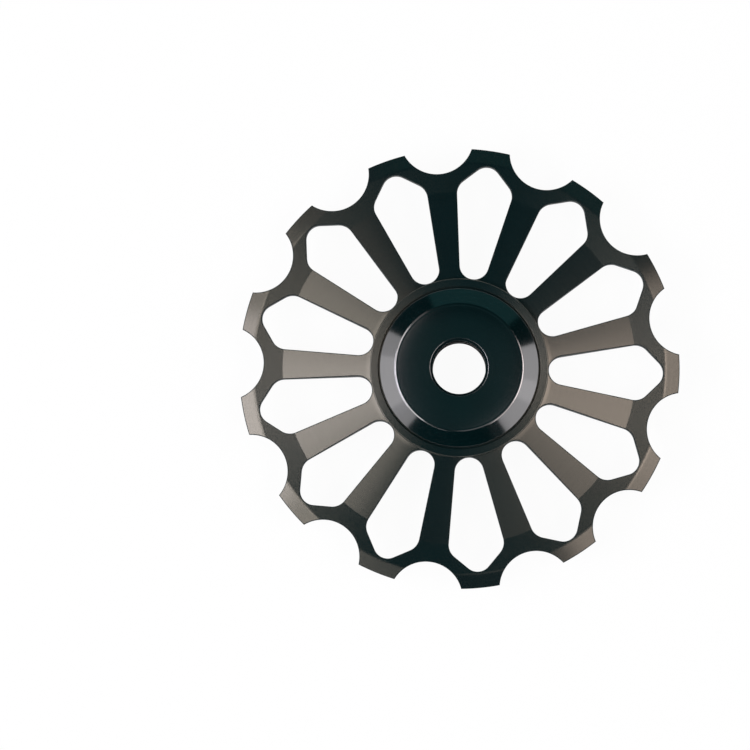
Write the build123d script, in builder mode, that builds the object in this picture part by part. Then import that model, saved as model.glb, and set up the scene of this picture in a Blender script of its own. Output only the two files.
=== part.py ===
from build123d import *
from math import cos, pi, radians, sin
import os

# A derailleur jockey wheel: a turned and milled aluminium wheel that guides the chain. It runs on a
# sealed ball bearing, and two turned covers clamp the bearing's inner race and shield its sides.
# The wheel turns about Z, the middle of its teeth is z = 0 and one tooth points along +X.
# All sizes are in millimetres.

# Chain and teeth
CHAIN_PITCH = 12.7
TEETH = 13
ROLLER_SEAT_RADIUS = 4.2
TOOTH_HEIGHT = 2.83
TOOTH_THICKNESS = 2.0
TIP_THICKNESS = 0.9
TIP_BEVEL = 1.63

# Rim, spokes and the windows between them
RIM_WEB = 1.55
RIM_BAND = 2.17
SPOKE_RIM_WIDTH = 3.44
SPOKE_HUB_WIDTH = 2.18
SPOKE_HUB_THICKNESS = 4.8
WINDOW_SHOULDER_ANGLE = 45.0
WINDOW_SHOULDER_ROUND = 1.77
WINDOW_TOP_ROUND = 1.64
WINDOW_FOOT_MARGIN = 0.06

# Hub ring, with a raised lip round each cover
HUB_WALL = 2.08
HUB_EDGE = 0.06
LIP_WIDTH = 0.8
LIP_HEIGHT = 0.4
SEAT_CHAMFER = 0.2

# Ball bearing
BEARING_BORE = 8.0
BEARING_DIAMETER = 16.0
BEARING_WIDTH = 5.0
RACE_CHAMFER = 0.2
RACE_FIT = 0.01
BALLS = 10
BALL_DIAMETER = 2.0
BALL_CLEARANCE = 0.03
TRACK_SHOULDER = 0.15

# Seals
SEAL_RECESS = 0.15
SEAL_THICKNESS = 0.4
SEAL_LEDGE = 0.4
SEAL_SNAP = 0.12
SEAL_FIT = 0.02
SEAL_LIP_CLEARANCE = 0.1
SEAL_BEAD = 0.35
SEAL_DISH = 0.12

# Ball cage
CAGE_CLEARANCE = 0.2
POCKET_CLEARANCE = 0.06
HORN_HEIGHT = 0.55
HORN_SLOT_WIDTH = 0.5
HORN_SLOT_DEPTH = 0.9

# Covers
OVERALL_WIDTH = 8.2
AXLE_BORE = 6.05
BORE_MOUTH_CHAMFER = 0.3
COVER_FACE_RADIUS = 7.28
COVER_EDGE_LAND = 0.25
COVER_CLEARANCE = 0.25
COVER_SHOULDER_INSET = 0.2
SPIGOT_GAP = 0.1
SPIGOT_CHAMFER = 0.2

# Radii worked out from the chain and the bearing
half_step = pi / TEETH
pitch_radius = CHAIN_PITCH / (2 * sin(half_step))
root_radius = pitch_radius - ROLLER_SEAT_RADIUS
tip_radius = root_radius + TOOTH_HEIGHT
rim_radius = root_radius - RIM_BAND
bearing_radius = BEARING_DIAMETER / 2
race_bore_radius = BEARING_BORE / 2
ball_radius = BALL_DIAMETER / 2
ball_circle = (bearing_radius + race_bore_radius) / 2
track_radius = ball_radius + BALL_CLEARANCE
outer_shoulder = ball_circle + ball_radius - TRACK_SHOULDER
inner_shoulder = ball_circle - ball_radius + TRACK_SHOULDER
hub_radius = bearing_radius + HUB_WALL
hub_wall_radius = hub_radius + HUB_EDGE
lip_radius = hub_radius - LIP_WIDTH
cover_radius = lip_radius - COVER_CLEARANCE
window_foot = hub_wall_radius + WINDOW_FOOT_MARGIN

# Heights above the middle plane
tooth_half = TOOTH_THICKNESS / 2
tip_half = TIP_THICKNESS / 2
spoke_half = SPOKE_HUB_THICKNESS / 2
bearing_half = BEARING_WIDTH / 2
lip_top = bearing_half + LIP_HEIGHT
seal_top = bearing_half - SEAL_RECESS
seal_floor = seal_top - SEAL_THICKNESS
cover_floor = bearing_half + COVER_CLEARANCE
cover_face = OVERALL_WIDTH / 2

# A window lies under each tooth. Its sides follow the spokes, and its shoulders leave a web of
# even thickness under the roller seats.
spoke_line = Vector(cos(half_step), sin(half_step))
spoke_across = Vector(sin(half_step), -cos(half_step))
spoke_foot = spoke_line * hub_radius + spoke_across * (SPOKE_HUB_WIDTH / 2)
spoke_head = spoke_line * rim_radius + spoke_across * (SPOKE_RIM_WIDTH / 2)
side = (spoke_head - spoke_foot).normalized()
side_out = Vector(-side.Y, side.X)
shoulder_tilt = radians(WINDOW_SHOULDER_ANGLE)
shoulder_out = Vector(sin(shoulder_tilt), cos(shoulder_tilt))
roller_centre = spoke_line * pitch_radius
shoulder_reach = roller_centre.dot(shoulder_out) - ROLLER_SEAT_RADIUS - RIM_WEB
window_top = Vector(shoulder_reach / shoulder_out.X, 0)
shoulder_run = (shoulder_reach - spoke_foot.dot(shoulder_out)) / side.dot(shoulder_out)
window_shoulder = spoke_foot + side * shoulder_run

# The round foot of a window touches both sides
foot_centre = (side_out.dot(spoke_foot) + window_foot) / (1 + side_out.X)
foot_round = foot_centre - window_foot
foot_end = Vector(foot_centre, 0) + side_out * foot_round

with BuildSketch() as window_outline:
    with BuildLine():
        Polyline(foot_end, window_shoulder, window_top)
        mirror(about=Plane.XZ)
        ThreePointArc(foot_end, (window_foot, 0), (foot_end.X, -foot_end.Y))
    make_face()
    across = window_outline.vertices().group_by(Axis.Y)
    fillet(across[0] + across[-1], WINDOW_SHOULDER_ROUND)
    fillet(window_outline.vertices().sort_by(Axis.X)[-1], WINDOW_TOP_ROUND)

os.makedirs("parts", exist_ok=True)

# Toothed wheel: a turned blank, with the roller seats and the windows milled through it
with BuildPart() as toothed_wheel:
    with BuildSketch(Plane.XZ):
        with BuildLine():
            Polyline(
                (bearing_radius + RACE_FIT, 0),
                (bearing_radius + RACE_FIT, bearing_half - SEAT_CHAMFER),
                (bearing_radius + RACE_FIT + SEAT_CHAMFER, bearing_half),
                (lip_radius, bearing_half),
                (lip_radius, lip_top),
                (hub_radius, lip_top),
                (hub_wall_radius, lip_top - HUB_EDGE),
                (hub_wall_radius, spoke_half),
                (rim_radius, tooth_half),
                (tip_radius - TIP_BEVEL, tooth_half),
                (tip_radius, tip_half),
                (tip_radius, 0),
            )
            mirror(about=Plane.XZ)
        make_face()
    revolve(axis=Axis.Z)
    with BuildSketch():
        with PolarLocations(pitch_radius, TEETH, start_angle=180 / TEETH):
            Circle(ROLLER_SEAT_RADIUS)
        with PolarLocations(0, TEETH):
            add(window_outline.sketch)
    extrude(amount=lip_top, both=True, mode=Mode.SUBTRACT)
toothed_wheel.part.label = "toothed_wheel"
export_step(toothed_wheel.part, "parts/toothed_wheel.step")

# Outer race: a ball track between two stepped grooves that hold the seals
seal_mouth = outer_shoulder + SEAL_LEDGE
seal_groove = seal_mouth + SEAL_SNAP
with BuildPart() as outer_race:
    with BuildSketch(Plane.XZ):
        with BuildLine():
            Polyline(
                (outer_shoulder, 0),
                (outer_shoulder, seal_floor),
                (seal_groove, seal_floor),
                (seal_groove, seal_top),
                (seal_mouth, seal_top),
                (seal_mouth, bearing_half),
                (bearing_radius - RACE_CHAMFER, bearing_half),
                (bearing_radius, bearing_half - RACE_CHAMFER),
                (bearing_radius, 0),
            )
            mirror(about=Plane.XZ)
        make_face()
        with Locations((ball_circle, 0)):
            Circle(track_radius, mode=Mode.SUBTRACT)
    revolve(axis=Axis.Z)
outer_race.part.label = "outer_race"
export_step(outer_race.part, "parts/outer_race.step")

# Inner race: a ball track on the outside, and the bore that the covers' spigots enter
with BuildPart() as inner_race:
    with BuildSketch(Plane.XZ):
        with BuildLine():
            Polyline(
                (inner_shoulder, 0),
                (inner_shoulder, bearing_half),
                (race_bore_radius + RACE_CHAMFER, bearing_half),
                (race_bore_radius, bearing_half - RACE_CHAMFER),
                (race_bore_radius, 0),
            )
            mirror(about=Plane.XZ)
        make_face()
        with Locations((ball_circle, 0)):
            Circle(track_radius, mode=Mode.SUBTRACT)
    revolve(axis=Axis.Z)
inner_race.part.label = "inner_race"
export_step(inner_race.part, "parts/inner_race.step")

# Balls, each on its own place round the track
for number, place in enumerate(PolarLocations(ball_circle, BALLS).locations, start=1):
    with BuildPart(Plane(place)) as ball:
        Sphere(ball_radius)
    ball.part.label = f"ball_{number:02d}"
    export_step(ball.part, f"parts/{ball.part.label}.step")

# Ball cage: a crown with a round pocket for each ball, and slots that let its horns spring
cage_inner = inner_shoulder + CAGE_CLEARANCE
cage_outer = outer_shoulder - CAGE_CLEARANCE
cage_floor = -seal_floor + CAGE_CLEARANCE
with BuildPart() as ball_cage:
    with BuildSketch(Plane.XY.offset(cage_floor)):
        Circle(cage_outer)
        Circle(cage_inner, mode=Mode.SUBTRACT)
    extrude(amount=HORN_HEIGHT - cage_floor)
    with PolarLocations(ball_circle, BALLS):
        Cylinder(
            ball_radius + POCKET_CLEARANCE,
            2 * (cage_outer - cage_inner),
            rotation=(0, 90, 0),
            mode=Mode.SUBTRACT,
        )
    with BuildSketch(Plane.XY.offset(HORN_HEIGHT)):
        with PolarLocations(ball_circle, BALLS, start_angle=180 / BALLS):
            Rectangle(2 * (cage_outer - cage_inner), HORN_SLOT_WIDTH)
    extrude(amount=-HORN_SLOT_DEPTH, mode=Mode.SUBTRACT)
ball_cage.part.label = "ball_cage"
export_step(ball_cage.part, "parts/ball_cage.step")

# Front seal: a bead snapped into the outer race, a dished plate and a lip over the inner race
seal_outer = seal_groove - SEAL_FIT
seal_inner = inner_shoulder + SEAL_LIP_CLEARANCE
seal_face = seal_top - SEAL_FIT
with BuildPart() as front_seal:
    with BuildSketch(Plane.XZ):
        with BuildLine():
            Polyline(
                (seal_inner, seal_floor),
                (seal_outer, seal_floor),
                (seal_outer, seal_face),
                (seal_mouth - SEAL_BEAD, seal_face),
                (seal_mouth - SEAL_BEAD, seal_face - SEAL_DISH),
                (seal_inner + SEAL_BEAD, seal_face - SEAL_DISH),
                (seal_inner + SEAL_BEAD, seal_face),
                (seal_inner, seal_face),
                close=True,
            )
        make_face()
    revolve(axis=Axis.Z)
front_seal.part.label = "front_seal"
export_step(front_seal.part, "parts/front_seal.step")

# Front cover: a spigot in the inner race, a shoulder against its side and a coned shield
spigot_radius = race_bore_radius - RACE_FIT
bore_radius = AXLE_BORE / 2
shoulder_radius = inner_shoulder - COVER_SHOULDER_INSET
with BuildPart() as front_cover:
    with BuildSketch(Plane.XZ):
        with BuildLine():
            Polyline(
                (bore_radius, SPIGOT_GAP / 2),
                (spigot_radius - SPIGOT_CHAMFER, SPIGOT_GAP / 2),
                (spigot_radius, SPIGOT_GAP / 2 + SPIGOT_CHAMFER),
                (spigot_radius, bearing_half),
                (shoulder_radius, bearing_half),
                (shoulder_radius, cover_floor),
                (cover_radius, cover_floor),
                (cover_radius, cover_floor + COVER_EDGE_LAND),
                (COVER_FACE_RADIUS, cover_face),
                (bore_radius + BORE_MOUTH_CHAMFER, cover_face),
                (bore_radius, cover_face - BORE_MOUTH_CHAMFER),
                close=True,
            )
        make_face()
    revolve(axis=Axis.Z)
front_cover.part.label = "front_cover"
export_step(front_cover.part, "parts/front_cover.step")

# The rear seal and the rear cover are the front ones turned to the other side
for front, name in ((front_seal, "rear_seal"), (front_cover, "rear_cover")):
    with BuildPart() as rear:
        mirror(front.part, about=Plane.XY)
    rear.part.label = name
    export_step(rear.part, f"parts/{name}.step")
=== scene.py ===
"""Dresses the derailleur jockey wheel: its meshes, finishes, studio and camera.

Every length is in millimetres, and MM turns it into the frame's metres. The wheel turns about Z,
the middle of its teeth is z = 0 and one tooth points along +X.
"""
import logging
import math
from dataclasses import dataclass, field
from enum import Enum, IntEnum
from typing import Sequence

import bmesh
import bpy
import numpy as np
from mathutils import Matrix, Vector
from mathutils.geometry import delaunay_2d_cdt


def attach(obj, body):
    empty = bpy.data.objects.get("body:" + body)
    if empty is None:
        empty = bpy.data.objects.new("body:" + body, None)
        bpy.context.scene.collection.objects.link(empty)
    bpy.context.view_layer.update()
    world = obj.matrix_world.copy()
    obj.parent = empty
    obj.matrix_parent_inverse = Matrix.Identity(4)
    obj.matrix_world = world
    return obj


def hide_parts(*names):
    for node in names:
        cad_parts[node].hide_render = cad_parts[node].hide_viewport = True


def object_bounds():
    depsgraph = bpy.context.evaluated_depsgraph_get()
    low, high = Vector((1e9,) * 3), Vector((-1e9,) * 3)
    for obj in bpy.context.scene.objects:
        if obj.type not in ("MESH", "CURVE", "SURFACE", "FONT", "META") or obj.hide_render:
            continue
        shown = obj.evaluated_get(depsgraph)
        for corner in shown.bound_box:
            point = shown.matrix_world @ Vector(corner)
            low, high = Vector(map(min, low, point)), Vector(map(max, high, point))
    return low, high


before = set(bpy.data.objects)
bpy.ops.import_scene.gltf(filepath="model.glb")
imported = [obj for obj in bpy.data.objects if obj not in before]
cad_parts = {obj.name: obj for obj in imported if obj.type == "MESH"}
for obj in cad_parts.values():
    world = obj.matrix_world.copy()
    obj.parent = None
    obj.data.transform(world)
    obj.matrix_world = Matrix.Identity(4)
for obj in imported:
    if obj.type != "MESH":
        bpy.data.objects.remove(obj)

CAD_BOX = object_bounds()
LOG = logging.getLogger("jockey_wheel")

Colour = tuple[float, float, float]
Corner = tuple[float, float, float]
Inputs = dict[str | int, object]
Pair = tuple[float, float]
Material = bpy.types.Material
Node = bpy.types.Node
NodeTree = bpy.types.NodeTree
Piece = bpy.types.Object
Socket = bpy.types.NodeSocket
Source = Node | Socket

MM = 0.001
FULL_TURN = 2.0 * math.pi
QUARTER_TURN = math.pi / 2
WELD_DISTANCE = 0.0005
LEAST_LENGTH = 1e-6
HALVINGS = 50
ROUND_PARTS = 3
ROUND_STEP = 0.13
BALL_SEGMENTS = 32
BALL_RINGS = 16
HULL_TRIANGLES = 0
MILLED = "milled"
# The colour sockets of a Mix node.
MIX_FIRST, MIX_SECOND, MIX_RESULT = 6, 7, 2
# The watts that a lamp of radiance 1 takes for each square metre.
WATTS_PER_RADIANCE = math.pi
COOL: Colour = (0.3, 1.0, 1.0)
CREAM: Colour = (1.04, 0.955, 0.93)
PEARL: Colour = (0.98, 0.99, 1.12)
PLAIN: Colour = (1.0, 1.0, 1.0)


class Side(Enum):
    """The two faces of the wheel, with the sign of Z that each one looks along."""

    FRONT = 1
    REAR = -1


class Band(IntEnum):
    """The milled wheel's surfaces. The edge between two different bands is a crisp one.

    The wall under a broken edge is the band after it, and UNDERSIDE is added on the rear face.
    """

    SPOKE = 1
    RIM = 2
    CREST = 3
    BEVEL = 4
    WINDOW_EDGE = 5
    WINDOW_WALL = 6
    SEAT_EDGE = 7
    SEAT_WALL = 8
    TIP_EDGE = 9
    TIP_WALL = 10
    BORE = 11
    BURIED = 12
    UNDERSIDE = 20
    TURNED = 40

    @staticmethod
    def milled(band: int) -> bool:
        """Tells whether a band is a milled or bored wall, and not a turned face."""
        return band < Band.TURNED and band % Band.UNDERSIDE >= Band.WINDOW_EDGE


@dataclass(frozen=True)
class Stretch:
    """One stretch of an outline: an arc about a centre, or a straight line where there is none."""

    start: Vector
    end: Vector
    centre: Vector | None = None
    turn: float = 0.0

    @property
    def length(self) -> float:
        """The length along the stretch."""
        if self.centre is None:
            return (self.end - self.start).length
        return abs(self.turn) * (self.start - self.centre).length

    def point(self, share: float) -> Vector:
        """The point at a share of the length, from 0 at the start to 1 at the end."""
        if self.centre is None:
            return self.start.lerp(self.end, share)
        return self.centre + Matrix.Rotation(self.turn * share, 2) @ (self.start - self.centre)

    def crossings(self, radius: float) -> list[float]:
        """Finds where the stretch crosses a circle about the axis, at most once in each half.

        Args:
            radius: The circle's radius.

        Returns:
            The shares of the length at the crossings.
        """
        found = []
        for low, high in ((0.0, 0.5), (0.5, 1.0)):
            rising = self.point(high).length > self.point(low).length
            if (self.point(low).length - radius) * (self.point(high).length - radius) >= 0:
                continue
            for _ in range(HALVINGS):
                middle = 0.5 * (low + high)
                if (self.point(middle).length < radius) == rising:
                    low = middle
                else:
                    high = middle
            found.append(0.5 * (low + high))
        return found


def polar(radius: float, angle: float) -> Vector:
    """The point at a radius and an angle about the axis."""
    return Vector((radius * math.cos(angle), radius * math.sin(angle)))


def within(spot: Vector, border: Sequence[Vector]) -> bool:
    """Tells whether a point lies inside a closed border.

    Args:
        spot: The point.
        border: The border's points in order.

    Returns:
        True where it lies inside.
    """
    inside = False
    for a, b in zip(border, [*border[1:], border[0]]):
        if (a.y > spot.y) != (b.y > spot.y):
            if spot.x < a.x + (b.x - a.x) * (spot.y - a.y) / (b.y - a.y):
                inside = not inside
    return inside


def rounded_outline(
    corners: Sequence[Vector], rounds: Sequence[float], grow: float = 0.0
) -> list[Stretch]:
    """Rounds the corners of a closed outline and moves it outwards.

    Args:
        corners: The outline's corners, counter-clockwise.
        rounds: The radius at each corner, or 0 for a sharp one.
        grow: How far the whole outline moves outwards.

    Returns:
        The straight and round stretches, starting with the first corner's arc.
    """
    count = len(corners)
    runs = [(corners[(i + 1) % count] - corners[i]).normalized() for i in range(count)]
    ends = []
    arcs = []
    for i, corner in enumerate(corners):
        before, after = runs[i - 1], runs[i]
        out = Vector((before.y, -before.x)) + Vector((after.y, -after.x))
        moved = corner + out * (2 * grow / out.length_squared)
        turn = math.atan2(before.cross(after), before.dot(after))
        radius = rounds[i] + (math.copysign(grow, turn) if rounds[i] else 0.0)
        reach = radius * abs(math.tan(turn / 2))
        first, last = moved - before * reach, moved + after * reach
        inward = Vector((-before.y, before.x)) * math.copysign(radius, turn)
        ends.append((first, last))
        arcs.append(Stretch(first, last, first + inward, turn))
    outline = []
    for i, arc in enumerate(arcs):
        outline += [arc, Stretch(ends[i][1], ends[(i + 1) % count][0])]
    return [stretch for stretch in outline if stretch.length > LEAST_LENGTH]


@dataclass
class Plan:
    """A flat plan in the making: its points, and the edges that its triangles have to keep."""

    snap: float
    points: list[Vector] = field(default_factory=list)
    edges: list[tuple[int, int]] = field(default_factory=list)

    def chain(self, points: Sequence[Vector], closed: bool = False) -> list[int]:
        """Adds a row of points joined by edges, and takes the points that are there already.

        Args:
            points: The row's points.
            closed: Whether the last point is joined to the first.

        Returns:
            The points' numbers.
        """
        row = []
        for point in points:
            there = [i for i, known in enumerate(self.points) if (known - point).length < self.snap]
            if not there:
                there = [len(self.points)]
                self.points.append(point)
            row.append(there[0])
        self.edges += zip(row, row[1:])
        if closed:
            self.edges.append((row[-1], row[0]))
        return row


@dataclass
class Shell:
    """A mesh in the making: its points in millimetres, its faces and the band of each face."""

    points: list[Vector] = field(default_factory=list)
    faces: list[tuple[int, ...]] = field(default_factory=list)
    bands: list[int] = field(default_factory=list)

    def add(self, flat: Sequence[Vector], heights: Sequence[float]) -> list[int]:
        """Adds points by their plan and their heights.

        Args:
            flat: The points seen along the axis.
            heights: The height of each point.

        Returns:
            The new points' numbers.
        """
        first = len(self.points)
        self.points += [Vector((p.x, p.y, z)) for p, z in zip(flat, heights)]
        return list(range(first, len(self.points)))

    def strip(self, upper: Sequence[int], lower: Sequence[int], bands: Sequence[int]) -> None:
        """Joins two rows of points with quads.

        Args:
            upper: The row above, where the outside lies to the right of its direction.
            lower: The row below, with as many points.
            bands: The band of each quad.
        """
        for i, band in enumerate(bands):
            self.faces.append((upper[i], lower[i], lower[i + 1], upper[i + 1]))
            self.bands.append(int(band))

    def spun(self, outline: Sequence[Vector], angles: Sequence[float]) -> list[list[int]]:
        """Adds an outline of radii and heights at each angle, and gives its rows of numbers."""
        heights = [p.y for p in outline]
        return [self.add([polar(p.x, angle) for p in outline], heights) for angle in angles]

    def turned(self, section: Sequence[Corner], sweep: float, steps: int, bore: float = 0.0) -> None:
        """Adds a sector of a turned ring.

        Args:
            section: The section's corners, counter-clockwise: radius, height and rounding.
            sweep: The sector's angle, centred on +X.
            steps: The number of steps in the sector.
            bore: The radius within which the straight stretches are bored, or 0 where none is.
        """
        corners = [Vector((radius, height)) for radius, height, _ in section]
        outline, bands = [], []
        for number, stretch in enumerate(rounded_outline(corners, [bend for _, _, bend in section])):
            straight = stretch.centre is None
            bored = straight and max(stretch.start.x, stretch.end.x) < bore
            parts = 1
            if not straight:
                parts = max(ROUND_PARTS, math.ceil(abs(stretch.turn) / ROUND_STEP))
            outline += [stretch.point(i / parts) for i in range(parts)]
            bands += [Band.BORE if bored else Band.TURNED + number] * parts
        angles = [sweep * (step / steps - 0.5) for step in range(steps + 1)]
        rows = [row + row[:1] for row in self.spun(outline, angles)]
        for row, following in zip(rows, rows[1:]):
            self.strip(row, following, bands)

    def mesh(self, name: str) -> bpy.types.Mesh:
        """Makes the mesh, smooth within each band and crisp between bands.

        Args:
            name: The mesh's name.

        Returns:
            The mesh, in metres.
        """
        mesh = bpy.data.meshes.new(name)
        mesh.from_pydata([p * MM for p in self.points], [], self.faces, shade_flat=False)
        meeting: dict[tuple[int, int], set[int]] = {}
        for face, band in zip(self.faces, self.bands):
            for a, b in zip(face, face[1:] + face[:1]):
                meeting.setdefault((min(a, b), max(a, b)), set()).add(band)
        crisp = [len(meeting[tuple(sorted(edge.vertices))]) > 1 for edge in mesh.edges]
        mesh.attributes.new("sharp_edge", "BOOLEAN", "EDGE").data.foreach_set("value", crisp)
        walls = [Band.milled(band) for band in self.bands]
        mesh.attributes.new(MILLED, "BOOLEAN", "FACE").data.foreach_set("value", walls)
        mesh.update()
        return mesh


class Bench:
    """Lays out the nodes of one tree. A node that is linked stands for its first output."""

    def __init__(self, tree: NodeTree) -> None:
        """Takes the tree."""
        self.tree = tree

    def node(self, kind: str, inputs: Inputs | None = None, **settings: object) -> Node:
        """Adds a node.

        Args:
            kind: The node's type.
            inputs: Its inputs by name or number, each with a value, or a node or socket to link.
            settings: Its plain properties by name.

        Returns:
            The node.
        """
        made = self.tree.nodes.new(kind)
        for key, value in settings.items():
            setattr(made, key, value)
        for key, value in (inputs or {}).items():
            source = value.outputs[0] if isinstance(value, Node) else value
            if isinstance(source, Socket):
                self.tree.links.new(source, made.inputs[key])
            else:
                made.inputs[key].default_value = source
        return made

    def math(self, operation: str, first: Source | float, second: Source | float) -> Node:
        """Adds a Math node with two inputs."""
        return self.node("ShaderNodeMath", {0: first, 1: second}, operation=operation)


class GeometryBench(Bench):
    """Lays out a Geometry Nodes tree, from its named inputs to its one result."""

    def __init__(self, name: str, inputs: dict[str, str]) -> None:
        """Starts a tree.

        Args:
            name: The tree's name.
            inputs: The kind of each input's socket, by the input's name.
        """
        super().__init__(bpy.data.node_groups.new(name, "GeometryNodeTree"))
        for label, kind in inputs.items():
            self.tree.interface.new_socket(label, in_out="INPUT", socket_type=f"NodeSocket{kind}")
        self.given = self.node("NodeGroupInput").outputs

    def result(self, name: str, last: Node) -> NodeTree:
        """Ends the tree.

        Args:
            name: The result's name.
            last: The node that gives the result.

        Returns:
            The tree.
        """
        self.tree.interface.new_socket(name, in_out="OUTPUT", socket_type="NodeSocketGeometry")
        self.node("NodeGroupOutput", {name: last})
        return self.tree


def polar_repeat_tree() -> NodeTree:
    """Builds the tree that repeats a sector round the axis and welds the seams.

    Returns:
        The tree, with a finish for the turned faces and one for the milled walls.
    """
    kinds = {"Sector": "Geometry", "Count": "Int", "Weld Distance": "Float"}
    bench = GeometryBench("polar_repeat", kinds | {"Finish": "Material", "Wall Finish": "Material"})
    given = bench.given
    step = bench.math("DIVIDE", FULL_TURN, given["Count"])
    angle = bench.math("MULTIPLY", bench.node("GeometryNodeInputIndex"), step)
    about_axis = bench.node("ShaderNodeCombineXYZ", {"Z": angle})
    turned = bench.node("FunctionNodeEulerToRotation", {"Euler": about_axis})
    places = bench.node("GeometryNodePoints", {"Count": given["Count"]})
    copies = {"Points": places, "Instance": given["Sector"], "Rotation": turned}
    spread = bench.node("GeometryNodeInstanceOnPoints", copies)
    whole = bench.node("GeometryNodeRealizeInstances", {"Geometry": spread})
    seams = {"Geometry": whole, "Distance": given["Weld Distance"]}
    weld = bench.node("GeometryNodeMergeByDistance", seams)
    finish = bench.node("GeometryNodeSetMaterial", {"Geometry": weld, "Material": given["Finish"]})
    milled = bench.node("GeometryNodeInputNamedAttribute", {"Name": MILLED}, data_type="BOOLEAN")
    walls = {"Geometry": finish, "Selection": milled, "Material": given["Wall Finish"]}
    return bench.result("Ring", bench.node("GeometryNodeSetMaterial", walls))


def ball_ring_tree() -> NodeTree:
    """Builds the tree that sets balls round a circle about the axis.

    Returns:
        The tree.
    """
    kinds = {"Start": "Geometry", "Balls": "Int", "Ball Radius": "Float"}
    bench = GeometryBench("ball_ring", kinds | {"Circle Radius": "Float", "Finish": "Material"})
    given = bench.given
    track = {"Vertices": given["Balls"], "Radius": given["Circle Radius"]}
    circle = bench.node("GeometryNodeMeshCircle", track)
    sphere = {"Segments": BALL_SEGMENTS, "Rings": BALL_RINGS, "Radius": given["Ball Radius"]}
    ball = bench.node("GeometryNodeMeshUVSphere", sphere)
    smooth = bench.node("GeometryNodeSetShadeSmooth", {"Geometry": ball})
    spread = bench.node("GeometryNodeInstanceOnPoints", {"Points": circle, "Instance": smooth})
    whole = bench.node("GeometryNodeRealizeInstances", {"Geometry": spread})
    faces = {"Geometry": whole, "Material": given["Finish"]}
    return bench.result("Balls", bench.node("GeometryNodeSetMaterial", faces))


def linked(name: str, data: bpy.types.ID) -> Piece:
    """Puts a mesh, a lamp or a camera into the scene.

    Args:
        name: The new object's name.
        data: What the object shows.

    Returns:
        The object.
    """
    made = bpy.data.objects.new(name, data)
    bpy.context.scene.collection.objects.link(made)
    return made


def grown(name: str, start: bpy.types.Mesh, tree: NodeTree, sizes: dict[str, object]) -> Piece:
    """Runs a Geometry Nodes tree on a mesh and keeps the result as a plain mesh.

    Args:
        name: The piece's name.
        start: The mesh that the tree starts from.
        tree: The tree.
        sizes: The tree's inputs by name.

    Returns:
        The piece, with no modifier left on it.
    """
    piece = linked(name, start)
    modifier = piece.modifiers.new(tree.name, "NODES")
    modifier.node_group = tree
    for item in tree.interface.items_tree:
        if item.in_out == "INPUT" and item.name in sizes:
            modifier[item.identifier] = sizes[item.name]
    depsgraph = bpy.context.evaluated_depsgraph_get()
    plain = bpy.data.meshes.new_from_object(piece.evaluated_get(depsgraph), depsgraph=depsgraph)
    piece.modifiers.remove(modifier)
    piece.data = plain
    plain.name = name
    bpy.data.meshes.remove(start)
    return piece


def drop_loose_points(mesh: bpy.types.Mesh) -> None:
    """Drops the points that no face uses.

    Args:
        mesh: The mesh to clear.
    """
    made = bmesh.new()
    made.from_mesh(mesh)
    loose = [vert for vert in made.verts if not vert.link_faces]
    bmesh.ops.delete(made, geom=loose, context="VERTS")
    made.to_mesh(mesh)
    made.free()


class FinishBench(Bench):
    """Lays out the shader nodes of one material."""

    def __init__(self, name: str) -> None:
        """Starts an empty material.

        Args:
            name: The material's name.
        """
        self.material = bpy.data.materials.new(name)
        self.material.use_nodes = True
        super().__init__(self.material.node_tree)
        self.tree.nodes.clear()

    def surface(self, shader: Node) -> Material:
        """Joins a shader to the material's output and gives the material."""
        self.node("ShaderNodeOutputMaterial", {"Surface": shader})
        return self.material

    def place(self) -> Socket:
        """The place on the piece, in Object coordinates."""
        return self.node("ShaderNodeTexCoord").outputs["Object"]

    def radius(self) -> Socket:
        """Works out the distance from the wheel's axis.

        Returns:
            The distance in millimetres.
        """
        in_plane = {0: self.place(), 1: (1.0 / MM, 1.0 / MM, 0.0)}
        flat = self.node("ShaderNodeVectorMath", in_plane, operation="MULTIPLY")
        return self.node("ShaderNodeVectorMath", {0: flat}, operation="LENGTH").outputs["Value"]

    def blend(self, share: Node, first: Colour, second: Colour) -> Socket:
        """Mixes two colours by the share of the second one."""
        inputs = {"Factor": share, MIX_FIRST: (*first, 1.0), MIX_SECOND: (*second, 1.0)}
        return self.node("ShaderNodeMix", inputs, data_type="RGBA").outputs[MIX_RESULT]

    def rings(self, pitch: float, detail: float) -> Node:
        """Uneven rings about the axis, from 0 to 1, by their pitch and the number of finer layers."""
        inputs = {"W": self.math("DIVIDE", self.radius(), pitch), "Scale": 1.0, "Detail": detail}
        return self.node("ShaderNodeTexNoise", inputs, noise_dimensions="1D")

    def cloud(self, size: float, detail: float) -> Node:
        """Soft patches, from 0 to 1, by their size and the number of finer layers."""
        inputs = {"Vector": self.place(), "Scale": 1.0 / (size * MM), "Detail": detail}
        return self.node("ShaderNodeTexNoise", inputs)

    def spread(self, value: Node, span: Pair) -> Node:
        """Maps a value from 0 to 1 onto a span, from its first number to its second."""
        return self.node("ShaderNodeMapRange", {"Value": value, "To Min": span[0], "To Max": span[1]})

    def crown(self, span: Pair) -> Node:
        """A face that falls off towards its edge.

        Args:
            span: The radii at which the fall begins and ends, in millimetres.

        Returns:
            The height, from 1 where the fall begins to 0 where it ends.
        """
        start, end = span
        share = self.math("DIVIDE", self.math("SUBTRACT", self.radius(), start), end - start)
        share = self.math("MINIMUM", self.math("MAXIMUM", share, 0.0), 1.0)
        return self.math("SUBTRACT", 1.0, self.math("MULTIPLY", share, share))

    def bump(self, height: Node, depth: float, strength: float, base: Node | None = None) -> Node:
        """Turns a height into a bump.

        Args:
            height: The node with the height from 0 to 1.
            depth: The depth in millimetres.
            strength: The bump's strength.
            base: The bump that it is added to, or None for the bare surface.

        Returns:
            The bump.
        """
        inputs = {"Height": height, "Distance": depth * MM, "Strength": strength}
        if base is not None:
            inputs["Normal"] = base
        return self.node("ShaderNodeBump", inputs)


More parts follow.
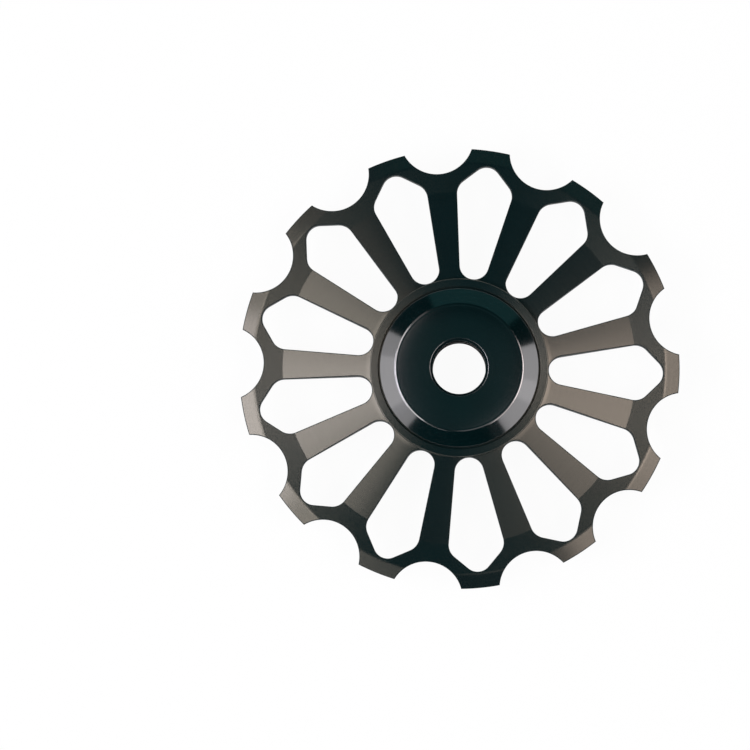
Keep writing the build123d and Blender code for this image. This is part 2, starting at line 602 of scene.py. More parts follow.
@dataclass(frozen=True)
class Finish:
    """A surface with patches of a second colour, and with a fine grain or a lathe's rings in relief.

    The mottle and the grain are a size in millimetres and a number of finer layers. The relief is
    a depth in millimetres and a strength. A sheen that spreads across the rings has anisotropy.
    """

    name: str
    colour: Colour
    patches: Colour
    roughness: Pair
    mottle: Pair = (1.5, 3.0)
    grain: Pair = (0.1, 2.0)
    relief: Pair = (0.004, 0.5)
    metallic: float = 0.0
    ior: float = 1.5
    gloss: float = 0.5
    ringed: bool = False
    ring_tone: Pair = (0.7, 1.3)
    sheen: Colour = PLAIN
    anisotropy: float = 0.0
    across_rings: float = 0.25
    crown: Pair = (0.0, 1.0)
    crown_drop: float = 0.0

    def material(self) -> Material:
        """Builds the finish.

        Returns:
            The material.
        """
        bench = FinishBench(self.name)
        mottle = bench.cloud(*self.mottle)
        grain = bench.rings(*self.grain) if self.ringed else bench.cloud(*self.grain)
        tone, wear, fall = mottle, mottle, None
        inputs = {
            "Metallic": self.metallic,
            "IOR": self.ior,
            "Specular IOR Level": self.gloss,
            "Specular Tint": (*self.sheen, 1.0),
        }
        if self.anisotropy:
            tone = bench.math("MULTIPLY", mottle, bench.spread(grain, self.ring_tone))
            wear = grain
            inputs["Anisotropic"] = self.anisotropy
            inputs["Anisotropic Rotation"] = self.across_rings
            inputs["Tangent"] = bench.node("ShaderNodeTangent", direction_type="RADIAL", axis="Z")
        if self.crown_drop:
            fall = bench.bump(bench.crown(self.crown), self.crown_drop, strength=1.0)
        inputs["Base Color"] = bench.blend(tone, self.colour, self.patches)
        inputs["Roughness"] = bench.spread(wear, self.roughness)
        inputs["Normal"] = bench.bump(grain, *self.relief, fall)
        return bench.surface(bench.node("ShaderNodeBsdfPrincipled", inputs))


WHEEL_FINISH = Finish(
    name="black_anodised_turned",
    colour=(0.0004, 0.0065, 0.008),
    patches=(0.0010, 0.009, 0.011),
    roughness=(0.224, 0.246),
    mottle=(2.5, 2.0),
    grain=(0.35, 3.0),
    relief=(0.005, 0.6),
    ior=1.935,
    ringed=True,
    sheen=(1.0, 0.89, 0.75),
    anisotropy=0.86,
)
COVER_FINISH = Finish(
    name="black_anodised_polished",
    colour=(0.0002, 0.0056, 0.0064),
    patches=(0.0005, 0.0084, 0.0094),
    roughness=(0.124, 0.136),
    mottle=(2.5, 2.0),
    grain=(0.25, 3.0),
    relief=(0.0003, 0.6),
    ior=2.36,
    ringed=True,
    sheen=(1.0, 0.96, 0.98),
    anisotropy=0.3,
    crown=(4.0, 7.0),
    crown_drop=0.12,
)
WALL_FINISH = Finish(
    name="black_anodised_milled",
    colour=(0.004, 0.010, 0.011),
    patches=(0.008, 0.016, 0.017),
    roughness=(0.5, 0.6),
    gloss=0.1,
)
BORE_FINISH = Finish(
    name="black_anodised_bored",
    colour=(0.002, 0.007, 0.008),
    patches=(0.005, 0.011, 0.012),
    roughness=(0.55, 0.7),
    gloss=0.0,
)
STEEL_FINISH = Finish(
    name="ground_bearing_steel",
    colour=(0.62, 0.61, 0.59),
    patches=(0.50, 0.49, 0.48),
    roughness=(0.14, 0.26),
    mottle=(0.8, 4.0),
    grain=(0.12, 2.0),
    relief=(0.002, 0.4),
    metallic=1.0,
    ringed=True,
)
NYLON_FINISH = Finish(
    name="natural_nylon",
    colour=(0.55, 0.46, 0.30),
    patches=(0.68, 0.60, 0.44),
    roughness=(0.42, 0.55),
    grain=(0.08, 2.0),
    relief=(0.01, 0.5),
)
RUBBER_FINISH = Finish(
    name="seal_rubber",
    colour=(0.012, 0.012, 0.013),
    patches=(0.03, 0.03, 0.032),
    roughness=(0.55, 0.7),
    grain=(0.05, 2.0),
    relief=(0.012, 0.5),
)


@dataclass(frozen=True)
class Edge:
    """The edge of a milled wall at the turned faces: its plan, and its points on each side."""

    plan: list[Vector]
    points: dict[Side, list[int]]


@dataclass
class ToothedWheel:
    """The turned and milled wheel: teeth, rim, tapered spokes, windows and the hub ring."""

    teeth: int = 13
    chain_pitch: float = 12.7
    seat_radius: float = 4.2
    tooth_height: float = 2.83
    tooth_half: float = 1.0
    tip_half: float = 0.45
    tip_bevel: float = 1.63
    rim_web: float = 1.55
    rim_band: float = 2.17
    spoke_rim_width: float = 3.44
    spoke_hub_width: float = 2.18
    spoke_half: float = 2.4
    shoulder_angle: float = 45.0
    shoulder_round: float = 1.77
    top_round: float = 1.64
    foot_margin: float = 0.06
    bearing_radius: float = 8.01
    bearing_half: float = 2.5
    seat_chamfer: float = 0.2
    hub_radius: float = 10.08
    hub_edge: float = 0.06
    hub_foot_round: float = 0.1
    lip_width: float = 0.8
    lip_top: float = 2.9
    crest_width: float = 0.35
    edge_break: float = 0.08
    turned_break: float = 0.08
    lip_break: float = 0.02
    seat_break: float = 0.03
    buried_radius: float = 9.6
    point_spacing: float = 0.25
    least_spacing: float = 0.3
    least_parts: int = 2
    round_steps: int = 5
    break_steps: int = 3
    hub_steps: int = 24
    buried_points: int = 13
    ring_points: int = 9
    crest_points: int = 25
    grid_points: int = 13
    grid_start: float = 0.5
    grid_step: float = 0.6
    grid_reach: float = 0.9
    grid_margin: float = 0.3
    least_angle: float = 0.003
    least_area: float = 1e-5
    on_circle: float = 1e-4
    snap: float = 1e-3
    plan_tolerance: float = 1e-5

    @property
    def half_step(self) -> float:
        """Half the angle from one tooth to the next."""
        return math.pi / self.teeth

    @property
    def pitch_radius(self) -> float:
        """The radius of the circle through the roller centres."""
        return self.chain_pitch / (2 * math.sin(self.half_step))

    @property
    def root_radius(self) -> float:
        """The radius at the bottom of the roller seats."""
        return self.pitch_radius - self.seat_radius

    @property
    def tip_radius(self) -> float:
        """The radius over the tooth tips."""
        return self.root_radius + self.tooth_height

    @property
    def rim_radius(self) -> float:
        """The radius where the spokes' slope meets the flat rim."""
        return self.root_radius - self.rim_band

    @property
    def hub_wall(self) -> float:
        """The hub ring's outer radius."""
        return self.hub_radius + self.hub_edge

    @property
    def spoke_slope(self) -> float:
        """How much the spokes rise for each millimetre towards the hub."""
        return (self.spoke_half - self.tooth_half) / (self.rim_radius - self.hub_wall)

    @property
    def bevel_tilt(self) -> float:
        """The angle of the bevel on the teeth."""
        return math.atan2(self.tooth_half - self.tip_half, self.tip_bevel)

    @property
    def crest(self) -> tuple[float, float, float]:
        """The round between the rim and the bevel: its start, its end and its radius."""
        bend = self.crest_width / (2 * math.tan(self.bevel_tilt / 2))
        start = self.tip_radius - self.tip_bevel - self.crest_width / 2
        return start, start + bend * math.sin(self.bevel_tilt), bend

    @property
    def creases(self) -> list[float]:
        """The radii where one band of the turned face ends and the next begins."""
        return [self.rim_radius, *self.crest[:2]]

    @property
    def foot_rings(self) -> list[float]:
        """The radii of the steps of the round between the spokes and the hub ring, inwards."""
        steps, lean = self.round_steps, math.atan(self.spoke_slope)
        turns = [lean + (QUARTER_TURN - lean) * k / steps for k in range(steps + 1)]
        return [self.hub_wall + self.hub_foot_round * (1 - math.sin(a)) for a in turns]

    @property
    def crest_rings(self) -> list[float]:
        """The radii of the steps inside the round between the rim and the bevel."""
        start, _, bend = self.crest
        turns = [self.bevel_tilt * k / self.round_steps for k in range(1, self.round_steps)]
        return [start + bend * math.sin(a) for a in turns]

    @property
    def rings(self) -> list[float]:
        """Every radius on which the turned face has a ring of points."""
        return [*self.foot_rings, *self.creases, *self.crest_rings]

    @property
    def seam_radii(self) -> list[float]:
        """The radii of the points on the seam between two sectors, from the hub to the rim."""
        foot, rim = self.foot_rings, self.rim_radius
        spoke = np.arange(foot[0] + self.grid_step, rim - self.grid_margin, self.grid_step)
        return [self.buried_radius, *reversed(foot), *spoke, rim, rim + 0.5 * (self.root_radius - rim)]

    def height(self, radius: float) -> float:
        """The height of the turned face at a radius.

        Args:
            radius: The radius.

        Returns:
            The height above the middle plane.
        """
        start, end, bend = self.crest
        if radius < self.foot_rings[0]:
            rise = math.sqrt(1 + self.spoke_slope**2) - self.spoke_slope
            reach = min(self.hub_foot_round, self.hub_wall + self.hub_foot_round - radius)
            drop = math.sqrt(self.hub_foot_round**2 - reach**2)
            return self.spoke_half + self.hub_foot_round * rise - drop
        if radius < self.rim_radius:
            return self.tooth_half + self.spoke_slope * (self.rim_radius - radius)
        if radius < start:
            return self.tooth_half
        if radius < end:
            return self.tooth_half - bend + math.sqrt(bend**2 - (radius - start)**2)
        return self.tip_half + (self.tip_radius - radius) * math.tan(self.bevel_tilt)

    def window(self, grow: float) -> list[Stretch]:
        """Works out the window under the tooth on +X.

        Args:
            grow: How far the outline moves into the metal.

        Returns:
            The window's outline, counter-clockwise.
        """
        along = polar(1.0, self.half_step)
        across = Vector((along.y, -along.x))
        foot = along * self.hub_radius + across * (self.spoke_hub_width / 2)
        head = along * self.rim_radius + across * (self.spoke_rim_width / 2)
        side = (head - foot).normalized()
        side_out = Vector((-side.y, side.x))
        tilt = math.radians(self.shoulder_angle)
        shoulder_out = Vector((math.sin(tilt), math.cos(tilt)))
        reach = (along * self.pitch_radius).dot(shoulder_out) - self.seat_radius - self.rim_web
        shoulder = foot + side * ((reach - foot.dot(shoulder_out)) / side.dot(shoulder_out))
        foot_radius = self.hub_wall + self.foot_margin
        foot_round = (side_out.dot(foot) + foot_radius) / (1 + side_out.x) - foot_radius
        foot_corner = foot + side * ((foot_radius - foot.x) / side.x)
        corners = [Vector((p.x, -p.y)) for p in (foot_corner, shoulder)]
        corners += [Vector((reach / shoulder_out.x, 0.0)), shoulder, foot_corner]
        rounds = [foot_round, self.shoulder_round, self.top_round, self.shoulder_round, foot_round]
        return rounded_outline(corners, rounds, grow)

    def tooth(self, inset: float) -> list[Stretch]:
        """Works out the edge of one tooth, from the middle of one roller seat to the next.

        Args:
            inset: How far the outline moves into the metal.

        Returns:
            A seat's arc, the tip's arc and the other seat's arc.
        """
        seat, tip = self.seat_radius + inset, self.tip_radius - inset
        roller = self.pitch_radius
        cosine = (roller**2 + tip**2 - seat**2) / (2 * roller * tip)
        lean = self.half_step - math.acos(cosine)
        centre = polar(roller, -self.half_step)
        root, corner = polar(roller - seat, -self.half_step), polar(tip, -lean)
        arm, reach = root - centre, corner - centre
        turn = math.atan2(arm.cross(reach), arm.dot(reach))
        first = Stretch(root, corner, centre, turn)
        top = Stretch(corner, polar(tip, lean), Vector((0.0, 0.0)), 2 * lean)
        far_root = polar(roller - seat, self.half_step)
        last = Stretch(polar(tip, lean), far_root, polar(roller, self.half_step), turn)
        return [first, top, last]

    def shares(self, outline: Sequence[Stretch]) -> list[list[float]]:
        """Spaces points along an outline, with one on each ring that it crosses.

        Args:
            outline: The outline at the top of its broken edge.

        Returns:
            For each stretch, the shares of its length at which a point lies.
        """
        spaced = []
        for stretch in outline:
            parts = max(self.least_parts, math.ceil(stretch.length / self.point_spacing))
            fixed = [share for radius in self.rings for share in stretch.crossings(radius)]
            even = [0.0]
            for share in (i / parts for i in range(1, parts)):
                if all(abs(share - other) > self.least_spacing / parts for other in fixed):
                    even.append(share)
            spaced.append(sorted(even + fixed))
        return spaced

    def walls(
        self, shell: Shell, outlines: Sequence[Sequence[Stretch]], bands: Sequence[Band], closed: bool
    ) -> Edge:
        """Adds the wall of a window or a tooth, with its broken edges.

        Args:
            shell: The mesh in the making.
            outlines: The outline at each step of the broken edge, from the face down to the wall.
            bands: The edge's band of each stretch. The wall's is the next one.
            closed: Whether the outline closes on itself.

        Returns:
            The wall's edge at the turned faces.
        """
        spaced = self.shares(outlines[0])
        if not closed:
            spaced[-1].append(1.0)
        plans = [[s.point(t) for s, found in zip(line, spaced) for t in found] for line in outlines]
        owners = [band for band, found in zip(bands, spaced) for _ in found]
        face = [self.height(p.length) for p in plans[0]]
        steps = self.break_steps
        drops = [self.edge_break * (1 - math.cos(QUARTER_TURN * k / steps)) for k in range(steps + 1)]
        rows = [shell.add(plan, [z - drop for z in face]) for plan, drop in zip(plans, drops)]
        below = [shell.add(plan, [drop - z for z in face]) for plan, drop in zip(plans, drops)]
        rows += reversed(below)
        if closed:
            rows = [row + row[:1] for row in rows]
        else:
            owners = owners[:-1]
        for number, (upper, lower) in enumerate(zip(rows, rows[1:])):
            shift = 0
            if number >= steps:
                shift = 1 if number == steps else Band.UNDERSIDE
            outer, inner = (lower, upper) if closed else (upper, lower)
            shell.strip(outer, inner, [band + shift for band in owners])
        count = len(plans[0])
        return Edge(plans[0], {Side.FRONT: rows[0][:count], Side.REAR: rows[-1][:count]})

    def insets(self) -> list[float]:
        """How far each step of a broken edge lies in from the wall, from the face down."""
        turns = [QUARTER_TURN * k / self.break_steps for k in range(self.break_steps + 1)]
        return [self.edge_break * (1 - math.sin(turn)) for turn in turns]

    def angles_on(self, row: Sequence[Vector], radius: float) -> list[float]:
        """The angles of those points of a row that lie on a circle about the axis."""
        return [math.atan2(p.y, p.x) for p in row if abs(p.length - radius) < self.on_circle]

    def ring_chains(self, plan: Plan, hole: Sequence[Vector], rim: Sequence[Vector]) -> None:
        """Adds the rings on which the turned face bends.

        Args:
            plan: The plan of the face.
            hole: The window's edge.
            rim: The tooth's edge.
        """
        for radius in [*self.foot_rings, self.rim_radius]:
            nearest = min(abs(angle) for angle in self.angles_on(hole, radius))
            angles = np.linspace(nearest, self.half_step, self.ring_points)
            for sign in (-1.0, 1.0):
                plan.chain([polar(radius, sign * a) for a in angles])
        for radius in [*self.creases[1:], *self.crest_rings]:
            reach = max(self.angles_on(rim, radius))
            angles = self.angles_on(hole, radius)
            crossed = list(angles)
            for angle in np.linspace(-reach, reach, self.crest_points):
                if all(abs(angle - other) > self.least_angle for other in crossed):
                    angles.append(angle)
            plan.chain([polar(radius, a) for a in sorted(angles)])

    def filling(self, hole: Sequence[Vector]) -> list[Vector]:
        """Spreads points over the spokes, clear of the window, so that their cone is round.

        Args:
            hole: The window's edge.

        Returns:
            The points.
        """
        points = []
        start, end = self.foot_rings[0] + self.grid_start, self.rim_radius - self.grid_margin
        for radius in np.arange(start, end, self.grid_step):
            for share in np.linspace(-self.grid_reach, self.grid_reach, self.grid_points):
                spot = polar(radius, self.half_step * share)
                nearest = min((spot - p).length for p in hole)
                if nearest > self.grid_margin and not within(spot, hole):
                    points.append(spot)
        return points

    def face(self, shell: Shell, window: Edge, tooth: Edge) -> None:
        """Fills the turned face of one sector, above and below.

        Args:
            shell: The mesh in the making.
            window: The window's edge.
            tooth: The tooth's edge.
        """
        hole, rim, step = window.plan, tooth.plan, self.half_step
        plan = Plan(self.snap)
        hole_row = plan.chain(hole, closed=True)
        rim_row = plan.chain(rim)
        low_seam = plan.chain([polar(r, -step) for r in self.seam_radii])
        high_seam = plan.chain([polar(r, step) for r in self.seam_radii])
        plan.edges += [(low_seam[-1], rim_row[0]), (high_seam[-1], rim_row[-1])]
        turns = np.linspace(-1, 1, self.buried_points)[1:-1]
        buried = plan.chain([polar(self.buried_radius, step * turn) for turn in turns])
        plan.edges += [(low_seam[0], buried[0]), (buried[-1], high_seam[0])]
        self.ring_chains(plan, hole, rim)
        border = [plan.points[i] for i in low_seam] + rim
        border += [plan.points[i] for i in [*reversed(high_seam), *reversed(buried)]]
        spots = plan.points + self.filling(hole)
        filled = delaunay_2d_cdt(spots, plan.edges, [], HULL_TRIANGLES, self.plan_tolerance)
        flat, _, triangles, sources, *_ = filled
        known = {source: number for number, found in enumerate(sources) for source in found}
        # What lies in the window or past the border is left out, and so are slivers on the seams.
        kept = []
        for triangle in triangles:
            first, second, third = (flat[i] for i in triangle)
            middle = (first + second + third) / 3
            sliver = abs((second - first).cross(third - first)) < self.least_area
            if sliver or not within(middle, border) or within(middle, hole):
                continue
            kept.append((triangle, Band.SPOKE + sum(middle.length > r for r in self.creases)))
        inner = [known[i] for i in [low_seam[0], *buried, high_seam[0]]]
        inner_rows = {}
        for side in Side:
            numbers = shell.add(flat, [side.value * self.height(p.length) for p in flat])
            for row, edge in ((hole_row, window), (rim_row, tooth)):
                for place, number in zip(row, edge.points[side]):
                    numbers[known[place]] = number
            for triangle, band in kept:
                shell.faces.append(tuple(numbers[i] for i in triangle)[::side.value])
                shell.bands.append(band if side is Side.FRONT else band + Band.UNDERSIDE)
            inner_rows[side] = [numbers[i] for i in inner]
        buried_bands = [Band.BURIED] * (len(inner) - 1)
        shell.strip(inner_rows[Side.REAR], inner_rows[Side.FRONT], buried_bands)

    def hub_section(self) -> list[Corner]:
        """Works out the hub ring's section.

        Returns:
            Its corners, counter-clockwise: radius, height and rounding.
        """
        lip = self.hub_radius - self.lip_width
        upper = [
            (self.hub_wall, self.lip_top - self.hub_edge, self.turned_break),
            (self.hub_radius, self.lip_top, self.turned_break),
            (lip, self.lip_top, self.lip_break),
            (lip, self.bearing_half, self.seat_break),
            (self.bearing_radius + self.seat_chamfer, self.bearing_half, self.seat_break),
            (self.bearing_radius, self.bearing_half - self.seat_chamfer, self.seat_break),
        ]
        return upper + [(radius, -height, bend) for radius, height, bend in reversed(upper)]

    def build(self, tree: NodeTree, wall_finish: Material) -> Piece:
        """Builds the wheel from one sector and dresses it.

        Args:
            tree: The tree that repeats the sector.
            wall_finish: The finish of the milled walls.

        Returns:
            The wheel.
        """
        shell = Shell()
        windows = [self.window(inset) for inset in self.insets()]
        teeth = [self.tooth(inset) for inset in self.insets()]
        window_bands = [Band.WINDOW_EDGE] * len(windows[0])
        tooth_bands = [Band.SEAT_EDGE, Band.TIP_EDGE, Band.SEAT_EDGE]
        window = self.walls(shell, windows, window_bands, closed=True)
        tooth = self.walls(shell, teeth, tooth_bands, closed=False)
        self.face(shell, window, tooth)
        shell.turned(self.hub_section(), 2 * self.half_step, self.hub_steps)
        sizes = {
            "Count": self.teeth,
            "Weld Distance": WELD_DISTANCE * MM,
            "Finish": WHEEL_FINISH.material(),
            "Wall Finish": wall_finish,
        }
        wheel = grown("toothed_wheel_milled", shell.mesh("wheel_sector"), tree, sizes)
        drop_loose_points(wheel.data)
        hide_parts("toothed_wheel")
        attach(wheel, "wheel")
        return wheel


@dataclass
class Cover:
    """A turned cover: a spigot in the bearing, a shoulder on its inner race and a coned shield."""

    side: Side
    bore_radius: float = 3.025
    mouth_chamfer: float = 0.3
    spigot_radius: float = 3.99
    spigot_foot: float = 0.05
    spigot_chamfer: float = 0.2
    shoulder_radius: float = 4.95
    bearing_half: float = 2.5
    floor: float = 2.75
    outer_radius: float = 9.03
    edge_land: float = 0.25
    face_radius: float = 7.28
    face: float = 4.1
    face_round: float = 0.7
    brow_round: float = 0.2
    brow_tilt: float = 19.0
    edge_round: float = 0.08
    seam_round: float = 0.12
    hidden_round: float = 0.03
    sectors: int = 24
    sector_steps: int = 12

    def brow(self) -> list[Corner]:
        """Works out the two rounds that lead from the cone to the face.

        Returns:
            Their corners: radius, height and rounding.
        """
        rise = self.face - self.floor - self.edge_land
        cone = math.atan2(rise, self.outer_radius - self.face_radius)
        tilt = math.radians(self.brow_tilt)
        side = self.brow_round * math.tan((cone - tilt) / 2) + self.face_round * math.tan(tilt / 2)
        drop = side * math.sin(tilt)
        outer = self.face_radius + drop / math.tan(cone)
        inner = outer - side * math.cos(tilt)
        return [(outer, self.face - drop, self.brow_round), (inner, self.face, self.face_round)]

    def section(self) -> list[Corner]:
        """Works out the cover's section.

        Returns:
            Its corners, counter-clockwise: radius, height and rounding.
        """
        corners = [
            (self.bore_radius, self.spigot_foot, self.seam_round),
            (self.spigot_radius - self.spigot_chamfer, self.spigot_foot, self.hidden_round),
            (self.spigot_radius, self.spigot_foot + self.spigot_chamfer, self.hidden_round),
            (self.spigot_radius, self.bearing_half, self.hidden_round),
            (self.shoulder_radius, self.bearing_half, self.hidden_round),
            (self.shoulder_radius, self.floor, self.hidden_round),
            (self.outer_radius, self.floor, self.edge_round),
            (self.outer_radius, self.floor + self.edge_land, self.edge_round),
            *self.brow(),
            (self.bore_radius + self.mouth_chamfer, self.face, self.edge_round),
            (self.bore_radius, self.face - self.mouth_chamfer, self.edge_round),
        ]
        if self.side is Side.REAR:
            corners = [(radius, -height, bend) for radius, height, bend in reversed(corners)]
        return corners

    def build(self, tree: NodeTree, finish: Material, wall_finish: Material) -> Piece:
        """Builds the cover and dresses it.

        Args:
            tree: The tree that repeats a sector.
            finish: The cover's finish.
            wall_finish: The finish of its bore.

        Returns:
            The cover.
        """
        shell = Shell()
        mouth = self.bore_radius + self.mouth_chamfer
        shell.turned(self.section(), FULL_TURN / self.sectors, self.sector_steps, mouth)
        name = f"{self.side.name.lower()}_cover"
        sizes = {
            "Count": self.sectors,
            "Weld Distance": WELD_DISTANCE * MM,
            "Finish": finish,
            "Wall Finish": wall_finish,
        }
        cover = grown(f"{name}_turned", shell.mesh(f"{name}_sector"), tree, sizes)
        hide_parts(name)
        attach(cover, "core")
        return cover


@dataclass
class Bearing:
    """The sealed ball bearing inside the hub: races, seals, cage and balls."""

    balls: int = 10
    ball_radius: float = 1.0
    ball_circle: float = 6.0
    crisp_angle: float = 30.0

    def smooth_copy(self, node: str, name: str, finish: Material) -> Piece:
        """Copies a bearing part with its points welded and its round faces smooth.

        Args:
            node: The part's node.
            name: The copy's name.
            finish: The copy's finish.

        Returns:
            The copy, which stands for the node.
        """
        made = bmesh.new()
        made.from_mesh(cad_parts[node].data)
        bmesh.ops.remove_doubles(made, verts=made.verts, dist=WELD_DISTANCE * MM)
        limit = math.radians(self.crisp_angle)
        for edge in made.edges:
            edge.smooth = edge.is_manifold and edge.calc_face_angle() < limit
        for part in made.faces:
            part.smooth = True
        mesh = bpy.data.meshes.new(name)
        made.to_mesh(mesh)
        made.free()
        mesh.materials.clear()
        mesh.materials.append(finish)
        piece = linked(name, mesh)
        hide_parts(node)
        return piece

    def build(self, tree: NodeTree) -> list[Piece]:
        """Builds the bearing's parts and dresses them.

        Args:
            tree: The tree that sets the balls round their circle.

        Returns:
            The parts.
        """
        steel = STEEL_FINISH.material()
        nylon = NYLON_FINISH.material()
        rubber = RUBBER_FINISH.material()
        parts = [
            ("outer_race", "outer_race_ground", steel, "wheel", "bearing_steel"),
            ("inner_race", "inner_race_ground", steel, "core", "bearing_steel"),
            ("ball_cage", "ball_cage_moulded", nylon, "cage", "cage_nylon"),
            ("front_seal", "front_seal_moulded", rubber, "wheel", "seal_rubber"),
            ("rear_seal", "rear_seal_moulded", rubber, "wheel", "seal_rubber"),
        ]
        made = []
        for node, name, finish, body, slot in parts:
            piece = self.smooth_copy(node, name, finish)
            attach(piece, body)
            made.append(piece)
        sizes = {
            "Balls": self.balls,
            "Ball Radius": self.ball_radius * MM,
            "Circle Radius": self.ball_circle * MM,
            "Finish": steel,
        }
        balls = grown("bearing_balls", bpy.data.meshes.new("ball_start"), tree, sizes)
        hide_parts(*[f"ball_{number:02d}" for number in range(1, self.balls + 1)])
        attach(balls, "cage")
        return [*made, balls]


def area_lamp(name: str, width: float, height: float, radiance: float, tint: Colour) -> Piece:
    """Makes a flat lamp that lights the wheel and isn't seen itself.

    Args:
        name: The lamp's name.
        width: Its width.
        height: Its height.
        radiance: How bright its face is.
        tint: Its colour.

    Returns:
        The lamp, still to be placed.
    """
    lamp = bpy.data.lights.new(name, "AREA")
    lamp.shape = "RECTANGLE"
    lamp.size = width * MM
    lamp.size_y = height * MM
    lamp.energy = WATTS_PER_RADIANCE * radiance * lamp.size * lamp.size_y
    lamp.color = tint
    placed = linked(name, lamp)
    placed.visible_camera = False
    return placed


@dataclass(frozen=True)
class Softbox:
    """An upright lamp beside the wheel, given by the directions that it fills, in degrees."""

    name: str
    azimuth: float
    half_spread: float
    low: float
    high: float
    radiance: float
    distance: float
    tint: Colour = PLAIN

    def build(self) -> Piece:
        """Places the lamp.

        Returns:
            The lamp.
        """
        foot, head = (self.distance * math.tan(math.radians(a)) for a in (self.low, self.high))
        width = 2 * self.distance * math.tan(math.radians(self.half_spread))
        placed = area_lamp(self.name, width, head - foot, self.radiance, self.tint)
        outward = polar(1.0, math.radians(self.azimuth)).to_3d()
        placed.location = (outward * self.distance + Vector((0.0, 0.0, (foot + head) / 2))) * MM
        placed.rotation_euler = outward.to_track_quat("Z", "Y").to_euler()
        return placed


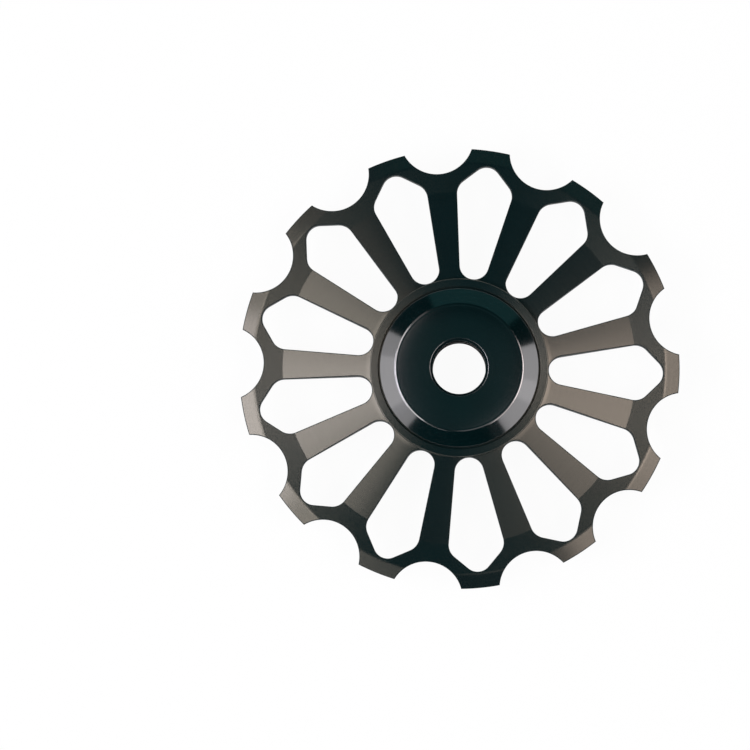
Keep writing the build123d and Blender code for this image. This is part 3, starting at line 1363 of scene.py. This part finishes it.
@dataclass
class Studio:
    """A white sweep, softboxes on both sides, a dim ceiling and a dim room."""

    floor_gap: float = 0.02
    floor_radius: float = 1600.0
    floor_steps: int = 96
    sweep_radius: float = 300.0
    sweep_points: int = 13
    wall_height: float = 360.0
    floor_white: float = 0.86
    background_share: float = 0.95
    room: Colour = (0.001, 0.001, 0.001)
    ceiling_height: float = 700.0
    ceiling_half_angle: float = 8.8
    ceiling_radiance: float = 0.034
    # Each box: name, azimuth, half spread, low, high, radiance, distance and tint.
    boxes: tuple[Softbox, ...] = (
        Softbox("left_low_softbox", 190.2, 38.6, 17.0, 56.5, 1.11, 400.0),
        Softbox("left_low_core", 190.5, 20.2, 10.0, 45.5, 0.53, 420.0),
        Softbox("left_middle_softbox", 190.4, 26.7, 34.0, 49.0, 6.12, 440.0, PEARL),
        Softbox("left_front_glow", 150.2, 30.3, 33.0, 79.0, 0.355, 460.0, CREAM),
        Softbox("left_back_glow", 220.6, 39.5, 44.4, 53.0, 1.97, 480.0),
        Softbox("left_high_softbox", 190.0, 17.8, 62.8, 71.4, 4.21, 400.0, PEARL),
        Softbox("left_high_glow", 187.4, 47.9, 62.2, 75.2, 3.55, 420.0),
        Softbox("right_low_softbox", -14.7, 36.3, 8.0, 32.5, 1.525, 400.0),
        Softbox("right_low_core", -15.0, 8.6, 15.0, 50.7, 0.42, 420.0),
        Softbox("right_middle_softbox", -16.9, 43.0, 37.5, 71.1, 0.67, 440.0, CREAM),
        Softbox("right_high_softbox", -5.6, 20.9, 57.5, 69.0, 3.37, 460.0, CREAM),
        Softbox("right_high_glow", -12.2, 42.3, 52.1, 70.4, 2.35, 480.0, CREAM),
        Softbox("right_back_glow", -46.7, 41.2, 69.1, 79.9, 0.61, 420.0),
        Softbox("far_glow", 78.6, 34.8, 12.7, 54.3, 0.087, 400.0, COOL),
    )

    def white(self) -> Material:
        """Builds the sweep's white, which looks even and keeps a soft shadow.

        Returns:
            The material.
        """
        bench = FinishBench("white_sweep")
        paint = bench.node("ShaderNodeBsdfDiffuse", {"Color": (self.floor_white,) * 3 + (1.0,)})
        glow = bench.node("ShaderNodeEmission")
        ray = bench.node("ShaderNodeLightPath").outputs
        seen = bench.math("MAXIMUM", ray["Is Camera Ray"], ray["Is Glossy Ray"])
        seen = bench.math("MAXIMUM", seen, ray["Is Transmission Ray"])
        share = bench.math("MULTIPLY", seen, self.background_share)
        return bench.surface(bench.node("ShaderNodeMixShader", {0: share, 1: paint, 2: glow}))

    def sweep(self) -> bpy.types.Mesh:
        """Makes the round floor and the wall that it curves up into.

        Returns:
            The mesh.
        """
        level = CAD_BOX[0][2] / MM - self.floor_gap
        section = []
        for angle in np.linspace(0.0, QUARTER_TURN, self.sweep_points):
            reach = self.floor_radius + self.sweep_radius * math.sin(angle)
            section.append(Vector((reach, level + self.sweep_radius * (1 - math.cos(angle)))))
        section.append(Vector((self.floor_radius + self.sweep_radius, level + self.wall_height)))
        shell = Shell()
        turns = [FULL_TURN * step / self.floor_steps for step in range(self.floor_steps)]
        rows = shell.spun(section, turns)
        for row, following in zip(rows, [*rows[1:], rows[0]]):
            shell.strip(following, row, [Band.TURNED] * (len(section) - 1))
        shell.faces.append(tuple(row[0] for row in rows))
        shell.bands.append(Band.TURNED)
        return shell.mesh("white_sweep")

    def build(self) -> None:
        """Builds the sweep, the lamps and the room."""
        sweep = linked("white_sweep", self.sweep())
        sweep.data.materials.append(self.white())
        for box in self.boxes:
            box.build()
        width = 2 * self.ceiling_height * math.tan(math.radians(self.ceiling_half_angle))
        ceiling = area_lamp("ceiling_panel", width, width, self.ceiling_radiance, COOL)
        ceiling.location = (0.0, 0.0, self.ceiling_height * MM)
        world = bpy.data.worlds.new("dim_room")
        world.use_nodes = True
        world.node_tree.nodes["Background"].inputs["Color"].default_value = (*self.room, 1.0)
        bpy.context.scene.world = world


@dataclass
class PhotoCamera:
    """The photograph's view: almost straight down, with the wheel right of the middle."""

    frame_pixels: float = 750.0
    wheel_pixel: Pair = (459.19, 368.67)
    pixel_size: float = 0.11434
    lean: Pair = (0.0, -0.038)
    roll: float = 1.4
    distance: float = 550.0
    near: float = 10.0
    sensor: float = 36.0

    def build(self) -> Piece:
        """Places the camera.

        Returns:
            The camera.
        """
        roll = math.radians(self.roll)
        right = Vector((math.cos(roll), math.sin(roll), 0.0))
        up = Vector((-math.sin(roll), math.cos(roll), 0.0))
        stand = (right * self.lean[0] + up * self.lean[1] + Vector((0.0, 0.0, 1.0))) * self.distance
        middle = self.frame_pixels / 2
        aim = right * ((middle - self.wheel_pixel[0]) * self.pixel_size)
        aim += up * ((self.wheel_pixel[1] - middle) * self.pixel_size)
        away = (stand - aim).normalized()
        across = up.cross(away).normalized()
        over = away.cross(across)
        lens = bpy.data.cameras.new("photo_camera")
        lens.sensor_width = self.sensor
        lens.lens = self.sensor * stand.dot(away) / (self.frame_pixels * self.pixel_size)
        lens.clip_start = self.near * MM
        camera = linked("photo_camera", lens)
        turned = Matrix((across, over, away)).transposed().to_4x4()
        camera.matrix_world = Matrix.Translation(stand * MM) @ turned
        bpy.context.scene.camera = camera
        return camera


def main() -> None:
    """Builds the pieces, the studio and the camera, and reports each piece."""
    logging.basicConfig(level=logging.INFO, format="%(name)s: %(message)s")
    repeat = polar_repeat_tree()
    wall_finish = WALL_FINISH.material()
    made = [ToothedWheel().build(repeat, wall_finish)]
    cover_finish = COVER_FINISH.material()
    bore_finish = BORE_FINISH.material()
    made += [Cover(side).build(repeat, cover_finish, bore_finish) for side in Side]
    made += Bearing().build(ball_ring_tree())
    Studio().build()
    PhotoCamera().build()
    bpy.context.scene.view_settings.view_transform = "Standard"
    for piece in made:
        LOG.info("%s: %d faces", piece.name, len(piece.data.polygons))


if __name__ == "__main__":
    main()
